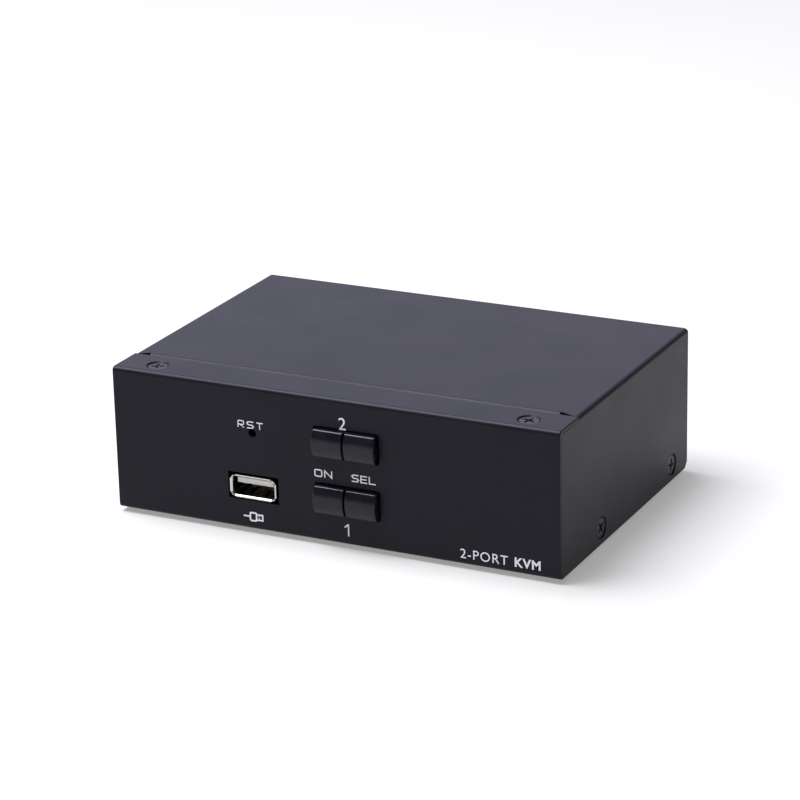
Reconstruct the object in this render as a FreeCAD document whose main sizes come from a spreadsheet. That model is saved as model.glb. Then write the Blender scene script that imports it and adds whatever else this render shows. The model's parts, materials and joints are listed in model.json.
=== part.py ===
import FreeCAD, Part
import os
import re
import Sketcher

# A two-port switch box for one keyboard, screen and mouse: a folded steel tray and a U-shaped
# steel cover around two stacked circuit boards that carry the sockets, switches and lamps.
# Row frame: +Z up, front panel facing -Y, origin on the floor under the middle of the whole box.
# Case frame, used by most sub-parts: X from the middle, Y from the front panel's outer face
# towards the rear, Z from the underside of the tray.

V = FreeCAD.Vector
PARTS_DIR = "parts"
TOUCH = 1e-4  # two coordinates nearer than this are the same, mm

DIMS = {
    # Case: outside sizes, sheet, bends and the running gap between the two folded sheets
    "case_wide": 130.0,
    "case_deep": 88.0,
    "case_tall": 40.3,
    "sheet": 1.0,
    "bend_outer": 1.25,
    "bend_inner": 0.3,
    "cover_gap": 0.15,
    "edge_round": 0.35,
    # Tray: front top flange, rear inner flange, side tabs and the relief notches at their ends
    "flange_deep": 11.9,
    "rear_flange_deep": 8.0,
    "tab_tall": 10.0,
    "tab_end": 3.5,
    "relief": 2.2,
    # Cover: joggled lip under the front flange, and the notches at the ends of the joggle
    "joggle_long": 1.35,
    "joggle_lean": 1.3,
    "joggle_shift": 0.38,
    "joggle_round": 1.0,
    "lip_front": 2.4,
    "lip_left": 60.8,
    "lip_right": 59.3,
    "notch_deep": 1.95,
    "notch_tip": 63.9,
    "corner_cut": 1.6,
    # Countersunk M3 screws and the holes they sit in
    "head_radius": 2.6,
    "head_land": 0.25,
    "head_sink": 0.3,
    "sink_radius": 3.2,
    "shank_radius": 1.25,
    "thread_radius": 1.3,
    "screw_long": 6.0,
    "collar_radius": 2.3,
    "collar_long": 1.2,
    "top_screw_x": 54.1,
    "top_screw_y": 5.65,
    "side_screw_front": 27.0,
    "side_screw_rear": 76.7,
    "side_screw_z": 4.5,
    # Cross recess of every screw: half span and half width at the top and at the bottom
    "cross_span": 1.75,
    "cross_half": 0.42,
    "cross_tip": 0.6,
    "cross_tip_half": 0.25,
    "cross_deep": 1.5,
    # Rubber feet
    "foot_tall": 1.2,
    "foot_radius": 5.0,
    "foot_round": 0.35,
    "foot_inset_x": 14.0,
    "foot_inset_y": 12.0,
    # Boards and what holds them
    "board_thick": 1.6,
    "board_half": 61.0,
    "board_front": 3.4,
    "board_rear": 86.3,
    "lower_top": 9.0,
    "upper_top": 24.7,
    "post_x": 54.0,
    "post_front": 14.0,
    "post_rear": 74.0,
    "post_corner": 2.887,
    "post_shank": 2.1,
    "post_hole": 2.15,
    "board_hole": 1.6,
    "stud_long": 5.5,
    "bore_deep": 7.0,
    "pan_radius": 2.75,
    "pan_tall": 2.0,
    "pan_round": 0.9,
    # Port buttons: opening, cap, retaining lip, travel and the switch behind
    "button_x": 4.75,
    "button_low_z": 12.25,
    "button_high_z": 27.95,
    "button_hole_wide": 19.1,
    "button_hole_tall": 8.5,
    "button_hole_round": 0.7,
    "cap_wide": 18.2,
    "cap_tall": 7.6,
    "cap_back": 2.3,
    "cap_edge_out": 1.5,
    "button_out": 2.6,
    "cap_round": 0.7,
    "cap_side_round": 0.4,
    "split_wide": 0.6,
    "split_floor": 0.5,
    "split_round": 0.22,
    "cap_wall": 1.1,
    "cap_web": 1.4,
    "lip_wide": 20.6,
    "lip_tall": 9.8,
    "lip_start": 1.35,
    "stem_front": 3.0,
    "stem_radius": 1.7,
    "stem_rear": 6.4,
    "stem_bore": 2.0,
    "stem_bore_rear": 7.4,
    "switch_front": 5.2,
    "switch_rear": 8.7,
    "switch_wide": 6.0,
    "switch_above": 2.95,
    "button_above_board": 3.25,
    "lamp_x": 4.7,
    "lamp_radius": 1.5,
    "lamp_tip": 3.4,
    "lamp_rear": 6.0,
    "lamp_block_rear": 9.4,
    # Reset switch behind its pin hole
    "reset_x": -22.9,
    "reset_z": 27.43,
    "reset_hole": 1.2,
    "plunger_radius": 0.9,
    "plunger_front": 2.0,
    "plunger_rear": 5.8,
    "plunger_bore": 1.2,
    "reset_front": 4.6,
    "reset_bore_rear": 6.6,
    "reset_rear": 7.8,
    "reset_wide": 4.6,
    "reset_above": 2.1,
    # Flat USB sockets: opening in the panel, mouth, tube, tongue and contacts
    "usb_hole_wide": 15.1,
    "usb_hole_tall": 7.5,
    "usb_mouth_wide": 13.8,
    "usb_mouth_tall": 6.3,
    "usb_mouth_thick": 0.45,
    "usb_notch_x": 1.6,
    "usb_notch_z": 1.2,
    "usb_tube_wide": 13.1,
    "usb_tube_tall": 5.75,
    "usb_tube_long": 13.3,
    "usb_in_wide": 12.5,
    "usb_in_tall": 5.12,
    "usb_in_round": 0.9,
    "usb_flare": 0.25,
    "usb_front_x": -23.15,
    "usb_front_out": 0.3,
    "usb_above_board": 2.95,
    "tongue_wide": 11.1,
    "tongue_low": 0.38,
    "tongue_high": 2.22,
    "tongue_front": 1.5,
    "tongue_rear": 10.4,
    "strip_wide": 1.0,
    "strip_thick": 0.22,
    "strip_front": 2.2,
    "leg_thick": 0.4,
    "block_gap": 0.2,
    "spring_x": 3.3,
    "spring_wide": 2.4,
    "spring_start": 1.8,
    "spring_peak": 4.6,
    "spring_end": 9.0,
    "spring_rise": 0.75,
    "slit": 0.16,
    # Digital video sockets
    "video_in_half": 7.0,
    "video_in_tall": 4.55,
    "video_bevel_x": 1.65,
    "video_bevel_z": 1.7,
    "video_wall": 0.35,
    "video_long": 11.5,
    "video_hole_wide": 15.5,
    "video_hole_tall": 6.0,
    "video_above_board": 2.7,
    "video_tongue_half": 5.2,
    "video_tongue_low": -0.2,
    "video_tongue_high": 1.0,
    "video_tongue_front": 1.2,
    "video_tongue_rear": 8.4,
    "pin_wide": 0.4,
    "pin_thick": 0.1,
    "pin_front": 1.8,
    "pin_rear": 7.8,
    # Square host sockets
    "host_wide": 12.0,
    "host_tall": 10.9,
    "host_long": 16.2,
    "host_wall": 0.4,
    "host_in_wide": 8.5,
    "host_in_tall": 7.8,
    "host_bevel": 1.6,
    "host_in_deep": 9.0,
    "host_tongue_wide": 5.6,
    "host_tongue_tall": 3.2,
    "host_tongue_front": 2.0,
    "host_hole_wide": 12.6,
    "host_hole_tall": 11.5,
    "host_above_board": 5.5,
    # Power jack
    "jack_wide": 9.0,
    "jack_tall": 11.0,
    "jack_long": 14.2,
    "jack_above_board": 6.4,
    "jack_face": 3.2,
    "jack_ring": 4.3,
    "jack_bore": 3.15,
    "jack_bore_deep": 9.5,
    "jack_pin": 1.0,
    "jack_pin_front": 1.0,
    "jack_hole_wide": 9.6,
    "jack_hole_tall": 11.6,
    # Rear sockets: how far they stand out, and their columns
    "socket_out": 0.6,
    "rear_video_x": 36.0,
    "rear_host_x": 14.0,
    "rear_usb_x": -10.0,
    "rear_end_x": -36.0,
    # Link between the boards
    "header_half": 10.16,
    "header_deep": 5.0,
    "header_y": 46.0,
    "header_socket_tall": 8.5,
    "header_strip_tall": 2.5,
    "header_step": 2.54,
    "header_pin": 0.64,
    "header_pin_hole": 0.9,
    "header_pin_deep": 6.0,
    "header_pin_spare": 0.5,
    # Smoothing capacitors
    "can_radius": 3.15,
    "can_tall": 9.0,
    "can_step": 7.5,
    "can_x": -47.5,
    "can_y": 56.0,
    "can_groove_ring": 3.45,
    "can_groove": 0.55,
    "can_groove_z": 1.6,
    # Small gaps, bevels and rounds that several pieces share
    "insert_gap": 0.1,
    "tongue_gap": 0.3,
    "small_bevel": 0.3,
    "chip_bevel": 0.25,
    "tip_round": 0.6,
    "can_round": 0.5,
}

# Moulded packages: the board that each sits on, then its middle and its size
CHIPS = {
    "video_switch_chip": ("lower_top", {"x": 23.0, "y": 50.0, "wide": 14.0, "deep": 14.0, "tall": 1.4}),
    "regulator": ("lower_top", {"x": -30.0, "y": 52.0, "wide": 10.0, "deep": 8.8, "tall": 4.4}),
    "usb_hub_chip": ("upper_top", {"x": -14.0, "y": 56.0, "wide": 10.0, "deep": 10.0, "tall": 1.4}),
    "controller_chip": ("upper_top", {"x": 12.0, "y": 26.0, "wide": 12.8, "deep": 7.5, "tall": 2.3}),
    "crystal": ("upper_top", {"x": -1.0, "y": 57.0, "wide": 10.8, "deep": 4.4, "tall": 3.5}),
}
for chip_label, (_, chip_sizes) in CHIPS.items():
    DIMS.update({f"{chip_label}_{side}": size for side, size in chip_sizes.items()})


# --- the document, its dimension sheet and short ways to use them ---------------------------

doc = FreeCAD.newDocument("two_port_switch")
sheet = doc.addObject("Spreadsheet::Sheet", "Dims")


def fill_sheet():
    """One row for each driving dimension: its name and its value under an alias."""
    for row, (alias, size) in enumerate(DIMS.items(), 1):
        sheet.set(f"A{row}", alias.replace("_", " "))
        sheet.set(f"B{row}", str(size))
        sheet.setAlias(f"B{row}", alias)
    doc.recompute()


def bound(text):
    """An expression on the sheet's cells, from one written with bare dimension names."""
    return re.sub(r"[a-z][a-z_]+", lambda word: "Dims." + word[0] if word[0] in DIMS else word[0], text)


def number(text):
    """The present value of an expression."""
    return float(sheet.evalExpression(bound(text)))


def bind(target, **sizes):
    """Bind each named property of an object to an expression."""
    for name, text in sizes.items():
        target.setExpression(name, bound(text))


def place(target, x, y, z):
    """Bind the position of an object to three expressions."""
    for axis, text in zip("xyz", (x, y, z)):
        target.setExpression(f"Placement.Base.{axis}", bound(text))


def seat(target, x="0", y="0", z="0"):
    """Place an object, built about a point of the case frame, in the row frame."""
    place(target, x, f"{y} - {CASE_SHIFT}", f"{z} + foot_tall")


# Front protrusion and rear protrusion differ, and the row's origin is midway between them.
CASE_SHIFT = "(case_deep + socket_out - button_out)/2"
SIDE_INNER = "case_wide/2 - sheet"
TRAY_HALF = f"{SIDE_INNER} - cover_gap"
REAR_TOP = "case_tall - sheet - cover_gap"
TAPPED_DEEP = "sink_radius - sheet - cover_gap - thread_radius"

nodes = []


def node(label, target):
    """Register a finished sub-part under the name of its node."""
    target.Label = label
    nodes.append(target)
    return target


def new_body(name):
    return doc.addObject("PartDesign::Body", name)


def group(label, members):
    """Several separate solids that share one node."""
    compound = doc.addObject("Part::Compound", label)
    compound.Links = members
    return node(label, compound)


# --- sketches and features -------------------------------------------------------------------

def sketch_on(body, role, name, offset="0"):
    """A sketch on one of the body's origin planes, moved along that plane's axis."""
    plane = next(item for item in body.Origin.OriginFeatures if item.Role == role)
    sketch = body.newObject("Sketcher::SketchObject", name)
    sketch.AttachmentSupport = [(plane, "")]
    sketch.MapMode = "FlatFace"
    sign = "-" if role == "XZ_Plane" else ""
    sketch.setExpression("AttachmentOffset.Base.z", bound(f"{sign}({offset})"))
    return sketch


def tie_point(sketch, edge, corner, x, y):
    """Bind a point of a sketch edge to a place measured from the sketch's origin."""
    for kind, text in (("DistanceX", x), ("DistanceY", y)):
        rule = sketch.addConstraint(Sketcher.Constraint(kind, -1, 1, edge, corner, number(text)))
        sketch.setExpression(f"Constraints[{rule}]", bound(text))


def outline(sketch, corners):
    """A closed outline of straight edges through corners given as expressions."""
    points = [V(number(x), number(y), 0) for x, y in corners]
    first = sketch.GeometryCount
    for start, end in zip(points, points[1:] + points[:1]):
        sketch.addGeometry(Part.LineSegment(start, end), False)
    for step, (x, y) in enumerate(corners):
        following = first + (step + 1) % len(corners)
        sketch.addConstraint(Sketcher.Constraint("Coincident", first + step, 2, following, 1))
        tie_point(sketch, first + step, 1, x, y)


def rectangle(sketch, x, y, wide, tall):
    """A rectangle about a centre."""
    west, east = f"{x} - ({wide})/2", f"{x} + ({wide})/2"
    south, north = f"{y} - ({tall})/2", f"{y} + ({tall})/2"
    outline(sketch, [(west, south), (east, south), (east, north), (west, north)])


def circle(sketch, x, y, radius):
    ring = sketch.addGeometry(Part.Circle(V(number(x), number(y), 0), V(0, 0, 1), number(radius)), False)
    tie_point(sketch, ring, 3, x, y)
    rule = sketch.addConstraint(Sketcher.Constraint("Radius", ring, number(radius)))
    sketch.setExpression(f"Constraints[{rule}]", bound(radius))


def runs_backwards(sketch):
    """True for a sketch whose own normal points down the row's axis."""
    return sketch.AttachmentSupport[0][0].Role == "XZ_Plane"


def pad(body, name, sketch, length, middle=False):
    """Extrude a sketch up its axis, or half each way."""
    feature = body.newObject("PartDesign::Pad", name)
    feature.Profile = sketch
    feature.Reversed = runs_backwards(sketch)
    feature.Midplane = middle
    bind(feature, Length=length)
    doc.recompute()
    return feature


def pocket(body, name, sketch, length):
    """Cut a sketch up its axis, and make sure that it removed something."""
    doc.recompute()
    before = body.Shape.Volume
    feature = body.newObject("PartDesign::Pocket", name)
    feature.Profile = sketch
    feature.Reversed = not runs_backwards(sketch)
    bind(feature, Length=length)
    doc.recompute()
    if body.Shape.Volume > before - TOUCH:
        raise RuntimeError(f"{name} cuts nothing")
    return feature


def block(body, name, low, high, cut=False):
    """Add or cut a box between two corners."""
    kind = "Subtractive" if cut else "Additive"
    feature = body.newObject(f"PartDesign::{kind}Box", name)
    spans = [f"({top}) - ({bottom})" for bottom, top in zip(low, high)]
    bind(feature, Length=spans[0], Width=spans[1], Height=spans[2])
    place(feature, *low)
    doc.recompute()
    return feature


TURNS = {
    "+x": FreeCAD.Rotation(V(0, 1, 0), 90),
    "-x": FreeCAD.Rotation(V(0, 1, 0), -90),
    "+y": FreeCAD.Rotation(V(1, 0, 0), -90),
    "-y": FreeCAD.Rotation(V(1, 0, 0), 90),
    "+z": FreeCAD.Rotation(),
    "-z": FreeCAD.Rotation(V(1, 0, 0), 180),
}


def rod(body, name, start, along, radius, length, cut=False):
    """Add or cut a cylinder that runs from a point in one of the six directions."""
    kind = "Subtractive" if cut else "Additive"
    feature = body.newObject(f"PartDesign::{kind}Cylinder", name)
    bind(feature, Radius=radius, Height=length)
    feature.Placement = FreeCAD.Placement(V(), TURNS[along])
    place(feature, *start)
    doc.recompute()
    return feature


def countersink(body, name, start, along, wide, narrow, depth):
    """Cut a cone that narrows from a point in one of the six directions."""
    feature = body.newObject("PartDesign::SubtractiveCone", name)
    bind(feature, Radius1=wide, Radius2=narrow, Height=depth)
    feature.Placement = FreeCAD.Placement(V(), TURNS[along])
    place(feature, *start)
    doc.recompute()
    return feature


def edges_where(body, test):
    """Names of the edges whose bounding box passes a test."""
    return [f"Edge{i}" for i, edge in enumerate(body.Shape.Edges, 1) if test(edge.BoundBox)]


def flat_at(box, axis, place_mm):
    """True where a bounding box lies in the plane across an axis at a place."""
    low = getattr(box, axis + "Min")
    high = getattr(box, axis + "Max")
    return abs(low - place_mm) < TOUCH and abs(high - place_mm) < TOUCH


def edges_at(body, **where):
    """Names of the edges that lie at the given coordinates, such as Y and Z."""
    targets = {axis: number(text) for axis, text in where.items()}
    return edges_where(body, lambda box: all(flat_at(box, a, at) for a, at in targets.items()))


def dress(body, name, kind, edges, size):
    """Fillet or chamfer some edges of the body's newest feature."""
    if not edges:
        raise RuntimeError(f"{name} found no edges")
    newest = body.Tip
    feature = body.newObject(f"PartDesign::{kind}", name)
    feature.Base = (newest, edges)
    bind(feature, **{"Radius" if kind == "Fillet" else "Size": size})
    doc.recompute()
    return feature


# --- the folded steel case -------------------------------------------------------------------

def screw_spots_on_top():
    return [(sign + "top_screw_x", "top_screw_y") for sign in ("-", "")]


def screw_spots_on_sides():
    """Side (-1 or 1) and distance from the front, for each side screw."""
    return [(side, y) for side in (-1, 1) for y in ("side_screw_front", "side_screw_rear")]


def post_spots():
    """Board posts, one near each corner."""
    return [(sign + "post_x", y) for sign in ("-", "") for y in ("post_front", "post_rear")]


def cut_front_openings(body):
    """Openings for the front socket, both port buttons and the reset pin hole."""
    holes = sketch_on(body, "XZ_Plane", "front_openings")
    rectangle(holes, "usb_front_x", "lower_top + usb_above_board", "usb_hole_wide", "usb_hole_tall")
    for height in ("button_low_z", "button_high_z"):
        rectangle(holes, "button_x", height, "button_hole_wide", "button_hole_tall")
    circle(holes, "reset_x", "reset_z", "reset_hole")
    pocket(body, "front_cuts", holes, "sheet")
    half = number("button_hole_wide")/2
    corners = []
    for side in (-half, half):
        corners += edges_at(body, X=f"button_x + {side}")
    sharp = [name for name in corners if body.Shape.getElement(name).BoundBox.ZLength < TOUCH]
    dress(body, "button_hole_corners", "Fillet", sharp, "button_hole_round")


def cut_rear_openings(body):
    """Openings for two rows of sockets and the power jack."""
    holes = sketch_on(body, "XZ_Plane", "rear_openings", "case_deep - sheet")
    for top in ("lower_top", "upper_top"):
        rectangle(holes, "rear_video_x", f"{top} + video_above_board", "video_hole_wide", "video_hole_tall")
        rectangle(holes, "rear_host_x", f"{top} + host_above_board", "host_hole_wide", "host_hole_tall")
        rectangle(holes, "rear_usb_x", f"{top} + usb_above_board", "usb_hole_wide", "usb_hole_tall")
    screen_z = "upper_top + video_above_board"
    rectangle(holes, "rear_end_x", screen_z, "video_hole_wide", "video_hole_tall")
    jack_z = "lower_top + jack_tall/2"
    rectangle(holes, "rear_end_x", jack_z, "jack_hole_wide", "jack_hole_tall")
    pocket(body, "rear_cuts", holes, "sheet")


def build_chassis():
    """Tray: floor, front panel with a top flange, rear panel with an inner flange, side tabs."""
    body = new_body("tray")
    section = sketch_on(body, "YZ_Plane", "tray_section")
    outline(section, [
        ("flange_deep", "case_tall"),
        ("0", "case_tall"),
        ("0", "0"),
        ("case_deep", "0"),
        ("case_deep", REAR_TOP),
        ("case_deep - rear_flange_deep", REAR_TOP),
        ("case_deep - rear_flange_deep", f"{REAR_TOP} - sheet"),
        ("case_deep - sheet", f"{REAR_TOP} - sheet"),
        ("case_deep - sheet", "sheet"),
        ("sheet", "sheet"),
        ("sheet", "case_tall - sheet"),
        ("flange_deep", "case_tall - sheet"),
    ])
    pad(body, "folded_sheet", section, f"2*({TRAY_HALF})", middle=True)
    block(body, "front_panel", ("-case_wide/2", "0", "0"), ("case_wide/2", "sheet", "case_tall"))
    block(body, "top_flange", ("-case_wide/2", "0", "case_tall - sheet"),
          ("case_wide/2", "flange_deep", "case_tall"))
    for name, low, high in (("left", f"-({TRAY_HALF})", f"sheet - ({TRAY_HALF})"),
                            ("right", f"{TRAY_HALF} - sheet", TRAY_HALF)):
        block(body, f"{name}_tab", (low, "tab_end", "0"), (high, "case_deep - tab_end", "tab_tall"))
    round_tray_bends(body)
    cut_front_openings(body)
    cut_rear_openings(body)
    for x, y in screw_spots_on_top():
        countersink(body, "flange_sink", (x, y, "case_tall"), "-z",
                    "sink_radius", "sink_radius - sheet", "sheet")
    for side, y in screw_spots_on_sides():
        tap_side_tab(body, side, y)
    for x, y in post_spots():
        rod(body, "post_seat", (x, y, "0"), "+z", "post_hole", "sheet", cut=True)
    seat(body)
    return node("chassis", body)


def round_tray_bends(body):
    """Corner reliefs beside the tabs, then the outside and inside radius of every bend."""
    for side, low, high in ((-1, f"-({TRAY_HALF})", f"relief - ({TRAY_HALF})"),
                            (1, f"{TRAY_HALF} - relief", TRAY_HALF)):
        for y in ("sheet", "case_deep - tab_end"):
            top = (high, f"{y} + tab_end - sheet", "sheet")
            block(body, "corner_relief", (low, y, "0"), top, cut=True)
    outer = edges_at(body, Y="0", Z="case_tall") + edges_at(body, Y="0", Z="0")
    outer += edges_at(body, Y="case_deep", Z="0") + edges_at(body, Y="case_deep", Z=REAR_TOP)
    for sign in ("-", ""):
        outer += edges_at(body, X=f"{sign}({TRAY_HALF})", Z="0")
    long_enough = [name for name in outer if body.Shape.getElement(name).Length > number("relief")]
    dress(body, "outer_bends", "Fillet", long_enough, "bend_outer")
    inner = edges_at(body, Y="sheet", Z="case_tall - sheet") + edges_at(body, Y="sheet", Z="sheet")
    inner += edges_at(body, Y="case_deep - sheet", Z="sheet")
    inner += edges_at(body, Y="case_deep - sheet", Z=f"{REAR_TOP} - sheet")
    for sign in ("-", ""):
        inner += edges_at(body, X=f"{sign}({TRAY_HALF} - sheet)", Z="sheet")
    long_enough = [name for name in inner if body.Shape.getElement(name).Length > number("relief")]
    dress(body, "inner_bends", "Fillet", long_enough, "bend_inner")
    corners = edges_at(body, X="case_wide/2", Y="0") + edges_at(body, X="-case_wide/2", Y="0")
    dress(body, "panel_ends", "Fillet", corners, "edge_round")


def tap_side_tab(body, side, y):
    """A drawn and tapped collar in a side tab."""
    inwards = "-x" if side > 0 else "+x"
    face = f"{side}*({TRAY_HALF})"
    wall = f"{side}*({TRAY_HALF} - sheet)"
    rod(body, "tab_collar", (wall, y, "side_screw_z"), inwards, "collar_radius", "collar_long")
    rod(body, "tab_thread", (face, y, "side_screw_z"), inwards, "thread_radius",
        "sheet + collar_long", cut=True)
    countersink(body, "tab_sink", (face, y, "side_screw_z"), inwards,
                f"thread_radius + {TAPPED_DEEP}", "thread_radius", TAPPED_DEEP)


def build_cover():
    """U-shaped cover: top, two full-depth sides, and a joggled lip that runs under the flange."""
    body = new_body("shell")
    section = sketch_on(body, "XZ_Plane", "cover_section", "flange_deep + cover_gap")
    half = "case_wide/2"
    outline(section, [
        (f"-{half}", "0"), (f"-{half}", "case_tall"), (half, "case_tall"), (half, "0"),
        (SIDE_INNER, "0"), (SIDE_INNER, "case_tall - sheet"),
        (f"-({SIDE_INNER})", "case_tall - sheet"), (f"-({SIDE_INNER})", "0"),
    ])
    pad(body, "folded_top", section, "case_deep - flange_deep - cover_gap")
    bends = edges_at(body, X=half, Z="case_tall") + edges_at(body, X=f"-{half}", Z="case_tall")
    dress(body, "outer_bends", "Fillet", bends, "bend_outer")
    inner = edges_at(body, X=SIDE_INNER, Z="case_tall - sheet")
    inner += edges_at(body, X=f"-({SIDE_INNER})", Z="case_tall - sheet")
    dress(body, "inner_bends", "Fillet", inner, "bend_inner")
    for low, high in ((SIDE_INNER, half), (f"-{half}", f"-({SIDE_INNER})")):
        block(body, "side_front", (low, "sheet + cover_gap", "0"),
              (high, "flange_deep + cover_gap + sheet", "case_tall - sheet - cover_gap"))
    cut_joggle_notches(body)
    add_joggle(body)
    cut_cover_screw_holes(body)
    foot_corners = edges_at(body, Y="case_deep", Z="0")
    dress(body, "rear_foot_corners", "Chamfer", foot_corners, "corner_cut")
    seat(body)
    return node("cover", body)


def cut_joggle_notches(body):
    """Clear the top's front strip for the joggle, with a tapering notch at each end of it."""
    start = "flange_deep"
    strip = "flange_deep + cover_gap + joggle_long"
    deep = "flange_deep + notch_deep"
    notch = sketch_on(body, "XY_Plane", "joggle_clearance", "case_tall - sheet - bend_inner")
    outline(notch, [
        ("-notch_tip", start), ("-notch_tip", "flange_deep + cover_gap"), ("-lip_left", deep),
        ("-lip_left", strip), ("lip_right", strip), ("lip_right", deep),
        ("notch_tip", "flange_deep + cover_gap"), ("notch_tip", start),
    ])
    pocket(body, "joggle_cut", notch, "sheet + bend_inner")


def add_joggle(body):
    """The lip: one sheet down a short slope, then forward under the flange."""
    top = "case_tall"
    under = "case_tall - sheet - cover_gap"
    strip = "flange_deep + cover_gap + joggle_long"
    section = sketch_on(body, "YZ_Plane", "lip_section", "-lip_left")
    outline(section, [
        (strip, top), (f"{strip} + joggle_shift", f"{top} - sheet"),
        (f"{strip} + joggle_shift - joggle_lean", f"{under} - sheet"), ("lip_front", f"{under} - sheet"),
        ("lip_front", under), (f"{strip} - joggle_lean", under),
    ])
    pad(body, "joggled_lip", section, "lip_left + lip_right")
    crest = edges_at(body, Y=strip, Z=top)
    dress(body, "joggle_crest", "Fillet", crest, "joggle_round")


def cut_cover_screw_holes(body):
    """Countersunk holes in the sides, and drawn and tapped collars under the lip."""
    lip_top = "case_tall - sheet - cover_gap"
    for side, y in screw_spots_on_sides():
        inwards = "-x" if side > 0 else "+x"
        countersink(body, "side_sink", (f"{side}*case_wide/2", y, "side_screw_z"), inwards,
                    "sink_radius", "sink_radius - sheet", "sheet")
    for x, y in screw_spots_on_top():
        rod(body, "lip_collar", (x, y, f"{lip_top} - sheet"), "-z", "collar_radius", "collar_long")
        rod(body, "lip_thread", (x, y, lip_top), "-z", "thread_radius", "sheet + collar_long", cut=True)
        countersink(body, "lip_sink", (x, y, lip_top), "-z",
                    f"thread_radius + {TAPPED_DEEP}", "thread_radius", TAPPED_DEEP)


# --- fasteners and feet ----------------------------------------------------------------------

def cut_cross(body, turn):
    """A cross recess in the top of a screw whose head looks up +Z from its own origin."""
    for quarter in (0, 90):
        wing = body.newObject("PartDesign::SubtractiveWedge", "cross_wing")
        wing.Placement = FreeCAD.Placement(
            V(), FreeCAD.Rotation(V(0, 0, 1), turn + quarter) * FreeCAD.Rotation(V(1, 0, 0), 90))
        bind(wing, Xmin="-cross_tip", Xmax="cross_tip", Zmin="-cross_tip_half", Zmax="cross_tip_half",
             X2min="-cross_span", X2max="cross_span", Z2min="-cross_half", Z2max="cross_half",
             Ymin="-cross_deep", Ymax="0")
        doc.recompute()


def countersunk_screw(turn):
    """Head flat at the origin, looking up +Z."""
    body = new_body("countersunk_screw")
    profile = sketch_on(body, "XZ_Plane", "screw_profile")
    outline(profile, [
        ("0", "0"), ("0", "-screw_long"), ("shank_radius", "-screw_long"),
        ("shank_radius", "shank_radius - head_radius - head_land"),
        ("head_radius", "-head_land"), ("head_radius", "0"),
    ])
    spin = body.newObject("PartDesign::Revolution", "screw_solid")
    spin.Profile = profile
    spin.ReferenceAxis = (profile, ["V_Axis"])
    spin.Angle = 360
    doc.recompute()
    cut_cross(body, turn)
    return body


def build_case_screws():
    """Two screws through the top flange and two through each side."""
    top = []
    for turn, (x, y) in zip((24, 71), screw_spots_on_top()):
        screw = countersunk_screw(turn)
        seat(screw, x, y, "case_tall - head_sink")
        top.append(screw)
    group("top_screws", top)
    sides = []
    for turn, (side, y) in zip((12, 50, 33, 78), screw_spots_on_sides()):
        screw = countersunk_screw(turn)
        screw.Placement = FreeCAD.Placement(V(), TURNS["+x" if side > 0 else "-x"])
        seat(screw, f"{side}*(case_wide/2 - head_sink)", y, "side_screw_z")
        sides.append(screw)
    group("side_screws", sides)


def build_feet():
    """Four low stick-on rubber discs under the tray."""
    feet = []
    for x in ("foot_inset_x - case_wide/2", "case_wide/2 - foot_inset_x"):
        for y in ("foot_inset_y", "case_deep - foot_inset_y"):
            body = new_body("foot")
            rod(body, "disc", ("0", "0", "-foot_tall"), "+z", "foot_radius", "foot_tall")
            dress(body, "worn_edge", "Fillet", edges_at(body, Z="-foot_tall"), "foot_round")
            seat(body, x, y)
            feet.append(body)
    group("feet", feet)


def hexagon(body, name, low, length):
    """A hexagonal post up +Z from a height."""
    feature = body.newObject("PartDesign::AdditivePrism", name)
    feature.Polygon = 6
    bind(feature, Circumradius="post_corner", Height=length)
    place(feature, "0", "0", low)
    doc.recompute()


def build_posts():
    """Posts pressed into the tray floor, studded spacers between the boards, and top screws."""
    lower_under = "lower_top - board_thick"
    upper_under = "upper_top - board_thick"
    standoffs, spacers, screws = [], [], []
    for turn, (x, y) in zip((15, 40, 62, 80), post_spots()):
        post = new_body("standoff")
        hexagon(post, "hexagon", "sheet", f"{lower_under} - sheet")
        rod(post, "pressed_shank", ("0", "0", "0"), "+z", "post_shank", "sheet")
        rod(post, "thread", ("0", "0", lower_under), "-z", "thread_radius",
            f"{lower_under} - 2*sheet", cut=True)
        seat(post, x, y)
        standoffs.append(post)
        spacer = new_body("spacer")
        hexagon(spacer, "hexagon", "lower_top", f"{upper_under} - lower_top")
        rod(spacer, "stud", ("0", "0", "lower_top"), "-z", "shank_radius", "stud_long")
        rod(spacer, "thread", ("0", "0", upper_under), "-z", "thread_radius", "bore_deep", cut=True)
        seat(spacer, x, y)
        spacers.append(spacer)
        screw = new_body("pan_screw")
        rod(screw, "head", ("0", "0", "-pan_tall"), "+z", "pan_radius", "pan_tall")
        rod(screw, "shank", ("0", "0", "-pan_tall"), "-z", "shank_radius", "screw_long")
        dress(screw, "pan", "Fillet", edges_at(screw, Z="0"), "pan_round")
        cut_cross(screw, turn)
        seat(screw, x, y, "upper_top + pan_tall")
        screws.append(screw)
    group("tray_standoffs", standoffs)
    group("board_spacers", spacers)
    group("board_screws", screws)


# --- boards and what sits on them ------------------------------------------------------------

def build_board(label, top):
    body = new_body("board")
    blank = sketch_on(body, "XY_Plane", "board_outline", f"{top} - board_thick")
    outline(blank, [
        ("-board_half", "board_front"), ("board_half", "board_front"),
        ("board_half", "board_rear"), ("-board_half", "board_rear"),
    ])
    for x, y in post_spots():
        circle(blank, x, y, "board_hole")
    pad(body, "laminate", blank, "board_thick")
    seat(body)
    return node(label, body)


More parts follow.
